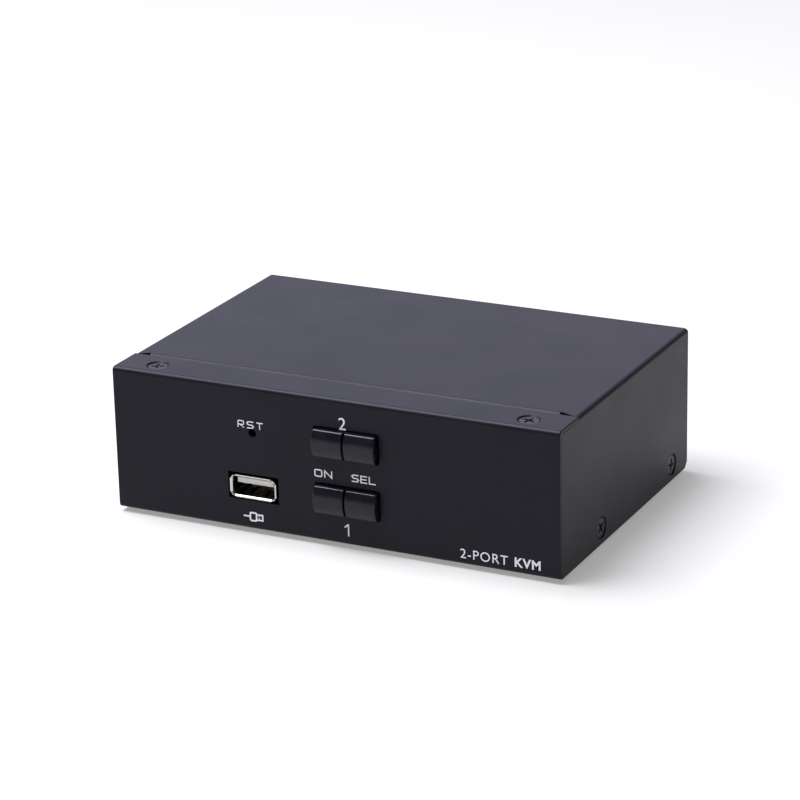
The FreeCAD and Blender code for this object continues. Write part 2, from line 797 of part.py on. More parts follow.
def build_chip(label, top):
    """A moulded package with bevelled top edges."""
    box = doc.addObject("Part::Box", f"{label}_block")
    bind(box, Length=f"{label}_wide", Width=f"{label}_deep", Height=f"{label}_tall")
    doc.recompute()
    chip = doc.addObject("Part::Chamfer", label)
    chip.Base = box
    tall, bevel = number(f"{label}_tall"), number("chip_bevel")
    upper = [i for i, edge in enumerate(box.Shape.Edges, 1) if flat_at(edge.BoundBox, "Z", tall)]
    chip.Edges = [(i, bevel, bevel) for i in upper]
    seat(chip, f"{label}_x - {label}_wide/2", f"{label}_y - {label}_deep/2", top)
    return node(label, chip)


def build_capacitors():
    """Three smoothing capacitors beside the power jack, each a can with a rolled groove."""
    cans = []
    for step in (-1, 0, 1):
        body = new_body("can")
        rod(body, "can_body", ("0", "0", "0"), "+z", "can_radius", "can_tall")
        dress(body, "can_rim", "Fillet", edges_at(body, Z="can_tall"), "can_round")
        groove = body.newObject("PartDesign::SubtractiveTorus", "rolled_groove")
        bind(groove, Radius1="can_groove_ring", Radius2="can_groove")
        place(groove, "0", "0", "can_groove_z")
        doc.recompute()
        seat(body, f"can_x + {step}*can_step", "can_y", "lower_top")
        cans.append(body)
    group("filter_capacitors", cans)


def header_columns():
    """Pin places along X and Y, two rows of eight."""
    along = [f"{step + 0.5}*header_step" for step in range(-4, 4)]
    across = [f"header_y {sign} header_step/2" for sign in ("-", "+")]
    return [(x, y) for x in along for y in across]


def build_header():
    """The pin strip under the upper board and the socket strip it plugs into."""
    upper_under = "upper_top - board_thick"
    front, rear = "header_y - header_deep/2", "header_y + header_deep/2"
    top = "lower_top + header_socket_tall"
    socket = new_body("header_socket_body")
    block(socket, "strip", ("-header_half", front, "lower_top"), ("header_half", rear, top))
    holes = sketch_on(socket, "XY_Plane", "pin_holes", f"{top} - header_pin_deep - header_pin_spare")
    for x, y in header_columns():
        rectangle(holes, x, y, "header_pin_hole", "header_pin_hole")
    pocket(socket, "pin_wells", holes, "header_pin_deep + header_pin_spare")
    seat(socket)
    node("header_socket", socket)
    strip = new_body("header_strip_body")
    strip_under = f"{upper_under} - header_strip_tall"
    block(strip, "strip", ("-header_half", front, strip_under), ("header_half", rear, upper_under))
    holes = sketch_on(strip, "XY_Plane", "pin_seats", strip_under)
    for x, y in header_columns():
        rectangle(holes, x, y, "header_pin", "header_pin")
    pocket(strip, "pin_ways", holes, "header_strip_tall")
    seat(strip)
    node("header_strip", strip)
    pins = []
    for x, y in header_columns():
        pin = doc.addObject("Part::Box", "header_pin_post")
        bind(pin, Length="header_pin", Width="header_pin")
        bind(pin, Height=f"{upper_under} - ({top}) + header_pin_deep")
        seat(pin, f"{x} - header_pin/2", f"{y} - header_pin/2", f"{top} - header_pin_deep")
        pins.append(pin)
    group("header_pins", pins)


# --- buttons, switches and lamps ------------------------------------------------------------

def cap_section(sketch):
    """Side view of a cap: flat sides and a crowned front."""
    half, edge, back = "cap_tall/2", "-cap_edge_out", "cap_back"
    low_front, low_back = V(number(edge), -number(half), 0), V(number(back), -number(half), 0)
    top_front, top_back = V(number(edge), number(half), 0), V(number(back), number(half), 0)
    sketch.addGeometry(Part.LineSegment(low_front, low_back), False)
    sketch.addGeometry(Part.LineSegment(low_back, top_back), False)
    sketch.addGeometry(Part.LineSegment(top_back, top_front), False)
    sketch.addGeometry(Part.Arc(top_front, V(-number("button_out"), 0, 0), low_front), False)
    for edge_end, following in ((0, 1), (1, 2), (2, 3), (3, 0)):
        sketch.addConstraint(Sketcher.Constraint("Coincident", edge_end, 2, following, 1))
    tie_point(sketch, 0, 1, edge, f"-{half}")
    tie_point(sketch, 1, 1, back, f"-{half}")
    tie_point(sketch, 2, 1, back, half)
    tie_point(sketch, 2, 2, edge, half)
    crown = "(button_out - cap_edge_out)"
    radius = f"((cap_tall/2)^2 + {crown}^2)/(2*{crown})"
    rule = sketch.addConstraint(Sketcher.Constraint("Radius", 3, number(radius)))
    sketch.setExpression(f"Constraints[{rule}]", bound(radius))


def build_cap(label, height):
    """One cap with two halves, a lip that keeps it in the panel and a boss for the switch."""
    body = new_body("cap")
    section = sketch_on(body, "YZ_Plane", "cap_section")
    cap_section(section)
    pad(body, "crowned_block", section, "cap_wide", middle=True)
    block(body, "split", ("-split_wide/2", "-2*button_out", "-cap_tall"),
          ("split_wide/2", "-split_floor", "cap_tall"), cut=True)
    long_edges = edges_at(body, Y="-cap_edge_out", Z="cap_tall/2")
    long_edges += edges_at(body, Y="-cap_edge_out", Z="-cap_tall/2")
    dress(body, "front_rounds", "Fillet", long_edges, "cap_round")
    front = number("-split_floor")
    for name, at, radius in (("end_rounds", "cap_wide/2", "cap_side_round"),
                             ("split_rounds", "split_wide/2", "split_round")):
        ends = [number(at), -number(at)]
        rims = edges_where(body, lambda box: any(flat_at(box, "X", x) for x in ends)
                           and box.YMin < front - TOUCH)
        dress(body, name, "Fillet", rims, radius)
    block(body, "retaining_lip", ("-lip_wide/2", "lip_start", "-lip_tall/2"),
          ("lip_wide/2", "cap_back", "lip_tall/2"))
    for low, high in (("cap_web", "cap_wide/2 - cap_wall"), ("cap_wall - cap_wide/2", "-cap_web")):
        block(body, "lamp_well", (low, "cap_wall - cap_edge_out", "cap_wall - cap_tall/2"),
              (high, "cap_back", "cap_tall/2 - cap_wall"), cut=True)
    rod(body, "switch_boss", ("0", "cap_back", "0"), "+y", "cap_web", "stem_front - cap_back")
    seat(body, "button_x", "0", height)
    return node(label, body)


def build_port_button(port, height):
    """Cap, switch stem, switch and a pair of lamps for one port."""
    build_cap(f"port_{port}_button_cap", height)
    stem = new_body("stem")
    rod(stem, "stem_rod", ("0", "stem_front", "0"), "+y", "stem_radius", "stem_rear - stem_front")
    seat(stem, "button_x", "0", height)
    node(f"port_{port}_switch_stem", stem)
    base = new_body("switch")
    block(base, "housing", ("-switch_wide/2", "switch_front", "-button_above_board"),
          ("switch_wide/2", "switch_rear", "switch_above"))
    rod(base, "stem_way", ("0", "switch_front", "0"), "+y", "stem_bore",
        "stem_bore_rear - switch_front", cut=True)
    seat(base, "button_x", "0", height)
    node(f"port_{port}_switch_base", base)
    lamps = []
    for sign in ("-", ""):
        lamp = new_body("lamp")
        lens_start = "lamp_tip + lamp_radius"
        rod(lamp, "lens", ("0", lens_start, "0"), "+y", "lamp_radius", f"lamp_rear - ({lens_start})")
        dome = lamp.newObject("PartDesign::AdditiveSphere", "dome")
        bind(dome, Radius="lamp_radius")
        place(dome, "0", lens_start, "0")
        doc.recompute()
        block(lamp, "holder", ("-lamp_radius", "lamp_rear", "-button_above_board"),
              ("lamp_radius", "lamp_block_rear", "lamp_radius"))
        seat(lamp, f"button_x + {sign}lamp_x", "0", height)
        lamps.append(lamp)
    group(f"port_{port}_lamps", lamps)


def build_reset():
    """A small push switch behind the pin hole."""
    plunger = new_body("plunger")
    rod(plunger, "plunger_rod", ("0", "plunger_front", "0"), "+y", "plunger_radius",
        "plunger_rear - plunger_front")
    dress(plunger, "plunger_tip", "Fillet", edges_at(plunger, Y="plunger_front"), "edge_round")
    seat(plunger, "reset_x", "0", "reset_z")
    node("reset_plunger", plunger)
    base = new_body("reset_body")
    block(base, "housing", ("-reset_wide/2", "reset_front", "upper_top - reset_z"),
          ("reset_wide/2", "reset_rear", "reset_above"))
    rod(base, "plunger_way", ("0", "reset_front", "0"), "+y", "plunger_bore",
        "reset_bore_rear - reset_front", cut=True)
    seat(base, "reset_x", "0", "reset_z")
    node("reset_switch", base)


# --- sockets: each is built about the middle of its mouth, with +Y going in ------------------

HALF_TURN = FreeCAD.Rotation(V(0, 0, 1), 180)


def set_socket(target, x, z, at_rear):
    """Put a socket's piece at the front panel, or turn it round and put it at the rear one."""
    if at_rear:
        target.Placement = FreeCAD.Placement(V(), HALF_TURN)
        seat(target, x, "case_deep + socket_out", z)
    else:
        seat(target, x, "-usb_front_out", z)


def round_tube_corners(body, name, wide, tall, radius, flat_length):
    """Round the four long corner edges of a rectangular tube or hole along Y."""
    corners = []
    for x_sign in ("-", ""):
        for z_sign in ("-", ""):
            corners += edges_at(body, X=f"{x_sign}{wide}/2", Z=f"{z_sign}{tall}/2")
    long_enough = [e for e in corners if body.Shape.getElement(e).Length > number(flat_length) - TOUCH]
    dress(body, name, "Fillet", long_enough, radius)


def usb_shell(body):
    """Folded tube with four turned-out lips, two springs and the slit where the sheet meets."""
    tube = sketch_on(body, "XZ_Plane", "tube_section")
    rectangle(tube, "0", "0", "usb_tube_wide", "usb_tube_tall")
    pad(body, "tube", tube, "usb_tube_long")
    round_tube_corners(body, "tube_corners", "usb_tube_wide", "usb_tube_tall", "usb_in_round",
                       "usb_tube_long")
    for name, wide, tall in (
            ("side_lips", "usb_mouth_wide", "usb_mouth_tall - 2*usb_notch_z"),
            ("long_lips", "usb_mouth_wide - 2*usb_notch_x", "usb_mouth_tall")):
        block(body, name, (f"-({wide})/2", "0", f"-({tall})/2"),
              (f"({wide})/2", "usb_mouth_thick", f"({tall})/2"))
    inside = sketch_on(body, "XZ_Plane", "inside_section")
    rectangle(inside, "0", "0", "usb_in_wide", "usb_in_tall")
    pocket(body, "inside", inside, "usb_tube_long")
    round_tube_corners(body, "inside_corners", "usb_in_wide", "usb_in_tall", "usb_in_round",
                       "usb_tube_long")
    reach = number("usb_in_wide")/2 + TOUCH
    rim = edges_where(body, lambda box: flat_at(box, "Y", 0) and box.XMax < reach
                      and box.XMin > -reach and abs(box.ZMax) < number("usb_in_tall")/2 + TOUCH)
    dress(body, "flare", "Chamfer", rim, "usb_flare")
    floor = "-usb_in_tall/2"
    for sign in ("-", ""):
        leaf = sketch_on(body, "YZ_Plane", "spring_section", f"{sign}spring_x")
        outline(leaf, [
            ("spring_start", f"{floor} - usb_in_round/4"), ("spring_start", floor),
            ("spring_peak", f"{floor} + spring_rise"), ("spring_end", floor),
            ("spring_end", f"{floor} - usb_in_round/4"),
        ])
        pad(body, "spring", leaf, "spring_wide", middle=True)
    block(body, "meeting_slit", ("-slit/2", "-slit", "-usb_mouth_tall"),
          ("slit/2", "tongue_rear", floor), cut=True)


def strip_places():
    """The four contacts of a flat or square socket."""
    return ["-3.5*strip_wide", "-strip_wide", "strip_wide", "3.5*strip_wide"]


def usb_contacts(label, x, z, at_rear):
    """Four strips under the tongue, each with a leg down to the board."""
    low = "tongue_low - strip_thick"
    contacts = []
    for strip_x in strip_places():
        body = new_body("contact")
        rear = "usb_tube_long + leg_thick"
        block(body, "strip", (f"{strip_x} - strip_wide/2", "strip_front", low),
              (f"{strip_x} + strip_wide/2", rear, "tongue_low"))
        block(body, "leg", (f"{strip_x} - strip_wide/4", "usb_tube_long", "-usb_above_board"),
              (f"{strip_x} + strip_wide/4", rear, "tongue_low"))
        set_socket(body, x, z, at_rear)
        contacts.append(body)
    group(f"{label}_contacts", contacts)


def build_usb_socket(label, x, board_top, at_rear):
    z = f"{board_top} + usb_above_board"
    body = new_body("usb_shell_body")
    usb_shell(body)
    set_socket(body, x, z, at_rear)
    node(f"{label}_shell", body)
    tongue = new_body("usb_tongue_body")
    half_wide, half_tall = "(usb_in_wide/2 - block_gap)", "(usb_in_tall/2 - block_gap)"
    block(tongue, "plug_block", (f"-{half_wide}", "tongue_rear", f"-{half_tall}"),
          (half_wide, "usb_tube_long", half_tall))
    corners = [name for x_sign in ("-", "") for z_sign in ("-", "")
               for name in edges_at(tongue, X=x_sign + half_wide, Z=z_sign + half_tall)]
    dress(tongue, "plug_block_corners", "Fillet", corners, "usb_in_round - block_gap")
    block(tongue, "tongue", ("-tongue_wide/2", "tongue_front", "tongue_low"),
          ("tongue_wide/2", "tongue_rear", "tongue_high"))
    dress(tongue, "tongue_edge", "Chamfer", edges_at(tongue, Y="tongue_front"), "small_bevel")
    for strip_x in strip_places():
        block(tongue, "strip_way", (f"{strip_x} - strip_wide/2", "tongue_rear", "tongue_low - strip_thick"),
              (f"{strip_x} + strip_wide/2", "usb_tube_long", "tongue_low"), cut=True)
    set_socket(tongue, x, z, at_rear)
    node(f"{label}_tongue", tongue)
    usb_contacts(label, x, z, at_rear)


def video_outline(sketch, grow):
    """Mouth of a digital video socket: a wide top and bevelled lower corners."""
    half, top = f"(video_in_half + {grow})", f"(video_in_tall/2 + {grow})"
    turn = f"(video_bevel_z - video_in_tall/2 - {grow}/2)"
    foot = f"({half} - video_bevel_x - {grow}/2)"
    outline(sketch, [
        (f"-{half}", top), (f"-{half}", turn), (f"-{foot}", f"-{top}"),
        (foot, f"-{top}"), (half, turn), (half, top),
    ])


def build_video_socket(label, x, board_top):
    """Shell, tongue and nineteen contacts, ten above the tongue and nine below."""
    z = f"{board_top} + video_above_board"
    body = new_body("video_shell_body")
    outside = sketch_on(body, "XZ_Plane", "outside_section")
    video_outline(outside, "video_wall")
    pad(body, "tube", outside, "video_long")
    inside = sketch_on(body, "XZ_Plane", "inside_section")
    video_outline(inside, "0")
    pocket(body, "inside", inside, "video_long - video_wall")
    set_socket(body, x, z, True)
    node(f"{label}_shell", body)
    tongue = new_body("video_tongue_body")
    block(tongue, "plug_block", ("-video_tongue_half", "video_tongue_rear", "tongue_gap - video_in_tall/2"),
          ("video_tongue_half", "video_long - video_wall", "video_in_tall/2 - tongue_gap"))
    block(tongue, "tongue", ("-video_tongue_half", "video_tongue_front", "video_tongue_low"),
          ("video_tongue_half", "video_tongue_rear", "video_tongue_high"))
    set_socket(tongue, x, z, True)
    node(f"{label}_tongue", tongue)
    contacts = []
    for count, low in ((10, "video_tongue_high"), (9, "video_tongue_low - pin_thick")):
        for step in range(count):
            strip = doc.addObject("Part::Box", "video_strip")
            bind(strip, Length="pin_wide", Width="pin_rear - pin_front", Height="pin_thick")
            strip.Placement = FreeCAD.Placement(V(), HALF_TURN)
            middle = f"{x} + {step - (count - 1)/2} + pin_wide/2"
            seat(strip, middle, "case_deep + socket_out - pin_front", f"{z} + {low}")
            contacts.append(strip)
    group(f"{label}_contacts", contacts)


def host_outline(sketch):
    """Mouth of a square host socket: both upper corners bevelled."""
    half, top = "host_in_wide/2", "host_in_tall/2"
    outline(sketch, [
        (f"-{half}", f"-{top}"), (half, f"-{top}"), (half, f"{top} - host_bevel"),
        (f"{half} - host_bevel", top), (f"host_bevel - {half}", top), (f"-{half}", f"{top} - host_bevel"),
    ])


def build_host_socket(label, x, board_top):
    """Metal box with a bevelled mouth, a moulded insert with a post, and four contacts."""
    z = f"{board_top} + host_above_board"
    low_z, high_z = "-host_tall/2", "host_tall/2"
    body = new_body("host_shell_body")
    block(body, "box", ("-host_wide/2", "0", low_z), ("host_wide/2", "host_long", high_z))
    block(body, "hollow", ("host_wall - host_wide/2", "host_wall", low_z),
          ("host_wide/2 - host_wall", "host_long - host_wall", f"{high_z} - host_wall"), cut=True)
    mouth = sketch_on(body, "XZ_Plane", "mouth_section")
    host_outline(mouth)
    pocket(body, "mouth", mouth, "host_wall")
    set_socket(body, x, z, True)
    node(f"{label}_shell", body)
    insert = new_body("host_insert_body")
    inset = "(host_wall + insert_gap)"
    block(insert, "insert", (f"{inset} - host_wide/2", "host_wall", low_z),
          (f"host_wide/2 - {inset}", f"host_long - {inset}", f"{high_z} - {inset}"))
    well = sketch_on(insert, "XZ_Plane", "well_section", "host_wall")
    host_outline(well)
    pocket(insert, "well", well, "host_in_deep")
    post_half, post_top = "host_tongue_wide/2", "host_tongue_tall/2"
    block(insert, "post", (f"-{post_half}", "host_tongue_front", f"-{post_top}"),
          (post_half, "host_wall + host_in_deep", post_top))
    set_socket(insert, x, z, True)
    node(f"{label}_insert", insert)
    contacts = []
    for sign in ("-", ""):
        for low in (post_top, f"-{post_top} - strip_thick"):
            strip = doc.addObject("Part::Box", "host_strip")
            bind(strip, Length="strip_wide", Height="strip_thick")
            bind(strip, Width="host_wall + host_in_deep - host_tongue_front - strip_wide")
            strip.Placement = FreeCAD.Placement(V(), HALF_TURN)
            seat(strip, f"{x} + {sign}1.25*strip_wide + strip_wide/2",
                 "case_deep + socket_out - host_tongue_front - strip_wide", f"{z} + {low}")
            contacts.append(strip)
    group(f"{label}_contacts", contacts)


def build_power_jack():
    """Moulded jack with a round nose and a centre pin."""
    z = "lower_top + jack_above_board"
    low_z = "-jack_above_board"
    body = new_body("jack")
    block(body, "face_block", ("-jack_wide/2", "0", low_z),
          ("jack_wide/2", "jack_face", "jack_tall - jack_above_board"))
    block(body, "rear_block", ("-jack_wide/2", "jack_face", low_z), ("jack_wide/2", "jack_long", "0"))
    rod(body, "barrel", ("0", "jack_face", "0"), "+y", "jack_ring", "jack_long - jack_face")
    rod(body, "bore", ("0", "0", "0"), "+y", "jack_bore", "jack_bore_deep", cut=True)
    rod(body, "pin_seat", ("0", "jack_bore_deep", "0"), "+y", "jack_pin",
        "jack_long - jack_bore_deep", cut=True)
    bore_wide = 2*number("jack_bore") + TOUCH
    mouth = edges_where(body, lambda box: flat_at(box, "Y", 0) and box.XLength < bore_wide)
    dress(body, "mouth", "Chamfer", mouth, "small_bevel")
    set_socket(body, "rear_end_x", z, True)
    node("power_jack_body", body)
    pin = new_body("jack_pin_body")
    rod(pin, "pin", ("0", "jack_pin_front", "0"), "+y", "jack_pin", "jack_long - jack_pin_front")
    dress(pin, "pin_tip", "Fillet", edges_at(pin, Y="jack_pin_front"), "tip_round")
    set_socket(pin, "rear_end_x", z, True)
    node("power_jack_pin", pin)


# --- build, check and write -------------------------------------------------------------------

def build_all():
    fill_sheet()
    build_chassis()
    build_cover()
    build_case_screws()
    build_feet()
    build_posts()
    build_board("lower_board", "lower_top")
    build_board("upper_board", "upper_top")
    build_port_button(1, "button_low_z")
    build_port_button(2, "button_high_z")
    build_reset()
    build_usb_socket("front_usb", "usb_front_x", "lower_top", at_rear=False)
    build_usb_socket("keyboard_usb", "rear_usb_x", "upper_top", at_rear=True)
    build_usb_socket("mouse_usb", "rear_usb_x", "lower_top", at_rear=True)
    build_video_socket("port_1_video", "rear_video_x", "lower_top")
    build_video_socket("port_2_video", "rear_video_x", "upper_top")
    build_video_socket("screen_video", "rear_end_x", "upper_top")
    build_host_socket("port_1_host", "rear_host_x", "lower_top")
    build_host_socket("port_2_host", "rear_host_x", "upper_top")
    build_power_jack()
    build_header()
    for label, (top, _) in CHIPS.items():
        build_chip(label, top)
    build_capacitors()
    doc.recompute()


def check_document():
    """Stop unless every object recomputed and every sub-part is a sound solid."""
    for item in doc.Objects:
        if {"Invalid", "Error"} & set(item.State):
            raise RuntimeError(f"{item.Name} ({item.Label}) failed: {item.State}")
    for part in nodes:
        shape = part.Shape
        if shape.isNull() or not shape.isValid() or not shape.Solids:
            raise RuntimeError(f"{part.Label} has no valid solid")


def write_parts():
    os.makedirs(PARTS_DIR, exist_ok=True)
    for part in nodes:
        part.Shape.exportStep(os.path.join(PARTS_DIR, f"{part.Label}.step"))
        box = part.Shape.BoundBox
        print(f"{part.Label}: {len(part.Shape.Solids)} solid(s), {part.Shape.Volume:.1f} mm3, "
              f"{box.XMin:.2f} {box.YMin:.2f} {box.ZMin:.2f} to {box.XMax:.2f} {box.YMax:.2f} {box.ZMax:.2f}")


build_all()
check_document()
write_parts()
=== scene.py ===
import json
import math

import bmesh
import bpy
from mathutils import Matrix, Vector


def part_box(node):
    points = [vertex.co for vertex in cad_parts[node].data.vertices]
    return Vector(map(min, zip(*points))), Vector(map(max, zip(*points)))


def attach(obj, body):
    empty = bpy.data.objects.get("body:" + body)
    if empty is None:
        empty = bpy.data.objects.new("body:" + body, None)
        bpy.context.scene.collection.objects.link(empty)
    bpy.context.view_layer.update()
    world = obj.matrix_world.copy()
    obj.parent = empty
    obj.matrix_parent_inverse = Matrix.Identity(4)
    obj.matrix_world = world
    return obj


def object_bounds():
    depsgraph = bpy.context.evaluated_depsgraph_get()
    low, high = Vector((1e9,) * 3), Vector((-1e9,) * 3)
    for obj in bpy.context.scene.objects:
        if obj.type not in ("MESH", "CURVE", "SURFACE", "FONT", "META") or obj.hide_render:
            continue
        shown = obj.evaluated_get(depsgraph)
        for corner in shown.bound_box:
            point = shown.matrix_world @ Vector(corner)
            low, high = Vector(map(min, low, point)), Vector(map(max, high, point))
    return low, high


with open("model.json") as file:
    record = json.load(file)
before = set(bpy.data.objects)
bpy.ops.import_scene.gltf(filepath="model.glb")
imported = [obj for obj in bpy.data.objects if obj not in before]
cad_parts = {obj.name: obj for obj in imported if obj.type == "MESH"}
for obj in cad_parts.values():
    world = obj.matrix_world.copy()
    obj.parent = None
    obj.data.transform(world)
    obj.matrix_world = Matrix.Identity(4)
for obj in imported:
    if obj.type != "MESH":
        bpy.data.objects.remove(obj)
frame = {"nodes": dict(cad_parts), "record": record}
cad_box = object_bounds()
MM = 0.001

# ---------------------------------------------------------------------------------------------
# Node-building helpers. Every pattern reads object coordinates, in metres.
# ---------------------------------------------------------------------------------------------


class Shader:
    """One material under construction: its node tree and its Principled shader."""

    def __init__(self, name):
        self.material = bpy.data.materials.new(name)
        self.material.use_nodes = True
        self.tree = self.material.node_tree
        self.bsdf = self.tree.nodes["Principled BSDF"]
        self.coordinates = self.tree.nodes.new("ShaderNodeTexCoord").outputs["Object"]

    def set(self, **sockets):
        """Set sockets of the shader directly, by their names with underscores for spaces."""
        for name, value in sockets.items():
            self.bsdf.inputs[name.replace("_", " ")].default_value = value

    def node(self, kind, **settings):
        made = self.tree.nodes.new(kind)
        for name, value in settings.items():
            setattr(made, name, value)
        return made

    def link(self, source, target):
        self.tree.links.new(source, target)

    def feed(self, source, socket):
        """Drive a socket of the shader."""
        self.link(source, self.bsdf.inputs[socket])

    def tint(self, pattern, dark, light):
        """Vary the base colour between two tones by a noise pattern."""
        self.feed(self.blend(self.spread(pattern, 0, 1), dark, light), "Base Color")

    def roughen(self, pattern, low, high, start=0.3, end=0.7):
        """Vary the roughness between two values by a pattern."""
        self.feed(self.spread(pattern, low, high, start, end), "Roughness")

    def stretched(self, scale, turn=(0, 0, 0)):
        """Object coordinates scaled unevenly, for grain that runs one way."""
        mapping = self.node("ShaderNodeMapping")
        mapping.inputs["Scale"].default_value = scale
        mapping.inputs["Rotation"].default_value = turn
        self.link(self.coordinates, mapping.inputs["Vector"])
        return mapping.outputs["Vector"]

    def noise(self, size, detail=2.0, rough=0.5, vector=None):
        """Noise with features of about the given size, in metres."""
        made = self.node("ShaderNodeTexNoise")
        made.inputs["Scale"].default_value = 1/size
        made.inputs["Detail"].default_value = detail
        made.inputs["Roughness"].default_value = rough
        self.link(vector or self.coordinates, made.inputs["Vector"])
        return made.outputs["Fac"]

    def cells(self, size, feature="F1"):
        """Distance within, or to the edges of, cells of about the given size."""
        made = self.node("ShaderNodeTexVoronoi", feature=feature)
        made.inputs["Scale"].default_value = 1/size
        self.link(self.coordinates, made.inputs["Vector"])
        return made.outputs["Distance"]

    def math(self, operation, first, second=0.0):
        made = self.node("ShaderNodeMath", operation=operation)
        for slot, value in zip(made.inputs, (first, second)):
            if isinstance(value, (int, float)):
                slot.default_value = value
            else:
                self.link(value, slot)
        return made.outputs[0]

    def spread(self, source, low, high, start=0.3, end=0.7):
        """Map start to end of a pattern smoothly to low to high; noise lies mostly in 0.3 to 0.7."""
        made = self.node("ShaderNodeMapRange", interpolation_type="SMOOTHSTEP")
        for name, value in (("From Min", start), ("From Max", end), ("To Min", low), ("To Max", high)):
            made.inputs[name].default_value = value
        self.link(source, made.inputs["Value"])
        return made.outputs["Result"]

    def blend(self, factor, first, second):
        """Mix two colours by a pattern."""
        made = self.node("ShaderNodeMix", data_type="RGBA")
        self.link(factor, made.inputs["Factor"])
        for name, value in (("A", first), ("B", second)):
            slot = next(s for s in made.inputs if s.name == name and s.type == "RGBA")
            if isinstance(value, tuple):
                slot.default_value = (*value, 1.0)
            else:
                self.link(value, slot)
        return next(s for s in made.outputs if s.type == "RGBA")

    def axis(self, letter):
        """One of the object coordinates on its own."""
        split = self.node("ShaderNodeSeparateXYZ")
        self.link(self.coordinates, split.inputs["Vector"])
        return split.outputs[letter]

    def depth_below(self, letter, face):
        """How far a place is inside a face that lies as far out on either side of the origin."""
        return self.math("SUBTRACT", face, self.math("ABSOLUTE", self.axis(letter)))

    def bump(self, height, depth, strength=1.0, under=None):
        """Raise the surface by a 0 to 1 pattern; depth in metres."""
        made = self.node("ShaderNodeBump")
        made.inputs["Strength"].default_value = strength
        made.inputs["Distance"].default_value = depth
        self.link(height, made.inputs["Height"])
        if under is not None:
            self.link(under, made.inputs["Normal"])
        return made.outputs["Normal"]


# ---------------------------------------------------------------------------------------------
# Materials
# ---------------------------------------------------------------------------------------------


def powder_coat():
    """Satin black powder coat: orange peel, fine grit, faint cloudiness."""
    coat = Shader("powder_coat")
    coat.set(Specular_IOR_Level=0.18)
    cloud = coat.noise(22*MM, detail=3.0, rough=0.55)
    grit = coat.noise(0.16*MM, rough=0.6)
    coat.tint(cloud, dark=(0.0052, 0.0049, 0.0104), light=(0.0070, 0.0067, 0.0132))
    mottle = coat.math("ADD", coat.math("MULTIPLY", cloud, 0.5), coat.math("MULTIPLY", grit, 0.5))
    coat.roughen(mottle, 0.38, 0.47)
    peel = coat.bump(coat.noise(0.9*MM), depth=0.006*MM)
    coat.feed(coat.bump(grit, depth=0.004*MM, under=peel), "Normal")
    return coat.material


def black_screw(depth_axis, head_at):
    """Black-coated screw whose recess is rubbed to bare metal below the head's face."""
    skin = Shader(f"black_screw_{depth_axis.lower()}")
    skin.set(Specular_IOR_Level=0.3)
    rubbed = skin.spread(skin.depth_below(depth_axis, head_at), 0, 0.6, start=0.2*MM, end=1.0*MM)
    patches = skin.spread(skin.noise(0.5*MM, detail=3.0, rough=0.6), 0.15, 1.0)
    worn = skin.math("MULTIPLY", rubbed, patches)
    coating, bare_metal = (0.011, 0.011, 0.016), (0.52, 0.50, 0.48)
    skin.feed(skin.blend(worn, coating, bare_metal), "Base Color")
    skin.roughen(worn, 0.38, 0.34, start=0.0, end=1.0)
    skin.feed(worn, "Metallic")
    skin.feed(skin.bump(skin.noise(0.12*MM), depth=0.004*MM), "Normal")
    return skin.material


def foot_rubber():
    """Matt black rubber with a pebbled surface and a little dust."""
    rubber = Shader("foot_rubber")
    rubber.set(Specular_IOR_Level=0.3)
    dust = rubber.noise(1.4*MM, detail=4.0, rough=0.6)
    rubber.tint(dust, dark=(0.012, 0.012, 0.012), light=(0.030, 0.029, 0.028))
    rubber.roughen(dust, 0.7, 0.92)
    rubber.feed(rubber.bump(rubber.cells(0.35*MM), depth=0.02*MM, strength=0.6), "Normal")
    return rubber.material


def plated_metal(name, bare, warm, rough, grain, painted_below=None, shade_behind_mouth=None):
    """Plated metal with drawn grain and colour patches.

    The case's coat covers it below a height, and inside a socket it is darkened behind the mouth as
    painted shade.
    """
    plate = Shader(name)
    plate.set(Metallic=1.0)
    streaks = plate.noise(0.25*MM, detail=3.0, rough=0.6, vector=plate.stretched(grain))
    patches = plate.noise(2.5*MM, detail=3.0, rough=0.55)
    colour = plate.blend(plate.spread(patches, 0, 1), bare, warm)
    if painted_below is not None:
        coat_black = (0.007, 0.007, 0.010)
        under = plate.spread(plate.axis("Z"), 1.0, 0.0, start=painted_below, end=painted_below + 0.05*MM)
        colour = plate.blend(under, colour, coat_black)
        plate.feed(plate.math("SUBTRACT", 1.0, under), "Metallic")
    if shade_behind_mouth is not None:
        # Painted shade: the plate turns near black with depth behind a socket's mouth, standing in for
        # the shade inside the socket.
        painted_shade_tone = (0.035, 0.028, 0.024)
        inside = plate.spread(plate.depth_below("Y", shade_behind_mouth), 0.0, 0.93, start=0.2*MM, end=1.6*MM)
        colour = plate.blend(inside, colour, painted_shade_tone)
    plate.feed(colour, "Base Color")
    plate.roughen(streaks, rough - 0.06, rough + 0.09)
    plate.feed(plate.bump(streaks, depth=0.004*MM), "Normal")
    return plate.material


def moulded(name, dark, light, rough, specular=0.5, grain=0.3*MM):
    """Moulded plastic with flow marks and a spark-eroded grain of the given size."""
    plastic = Shader(name)
    plastic.set(Specular_IOR_Level=specular)
    flow = plastic.noise(5*MM, detail=3.0)
    texture = plastic.noise(grain, detail=3.0, rough=0.6)
    plastic.tint(flow, dark, light)
    plastic.roughen(texture, rough - 0.07, rough + 0.08)
    plastic.feed(plastic.bump(texture, depth=0.006*MM), "Normal")
    return plastic.material


